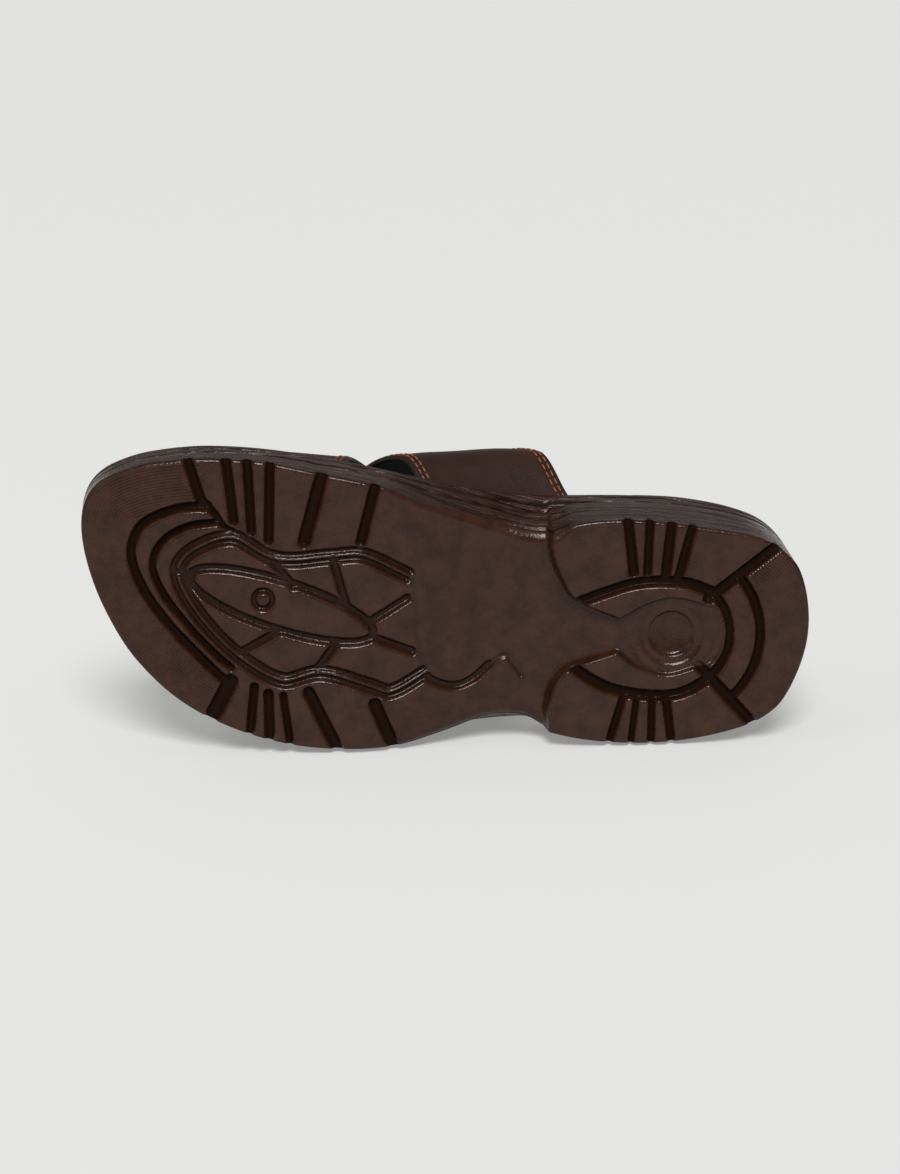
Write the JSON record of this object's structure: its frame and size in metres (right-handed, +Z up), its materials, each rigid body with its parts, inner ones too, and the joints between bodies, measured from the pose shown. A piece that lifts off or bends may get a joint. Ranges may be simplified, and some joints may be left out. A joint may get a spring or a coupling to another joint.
{
  "type": "house slipper",
  "caption": "Open-toed house slipper with a moulded lugged sole, padded insole and two crossed leather bands, lying on its outer side.",
  "frame": {"origin": "middle of the slipper's box, on the floor it lies on", "axes": "X along the slipper, the heel towards +X; Z up; the tread faces -Y"},
  "size_m": [0.2814, 0.0966, 0.1178],
  "materials": {
    "sole": "dark brown moulded polyurethane, satin, fine ribs on the tread",
    "insole": "black lining leather over foam, matt",
    "upper": "dark brown smooth leather, black lining, orange lock stitching"
  },
  "bodies": {
    "root": {"sole": "sole", "insole": "insole", "upper": "upper"}
  },
  "joints": []
}
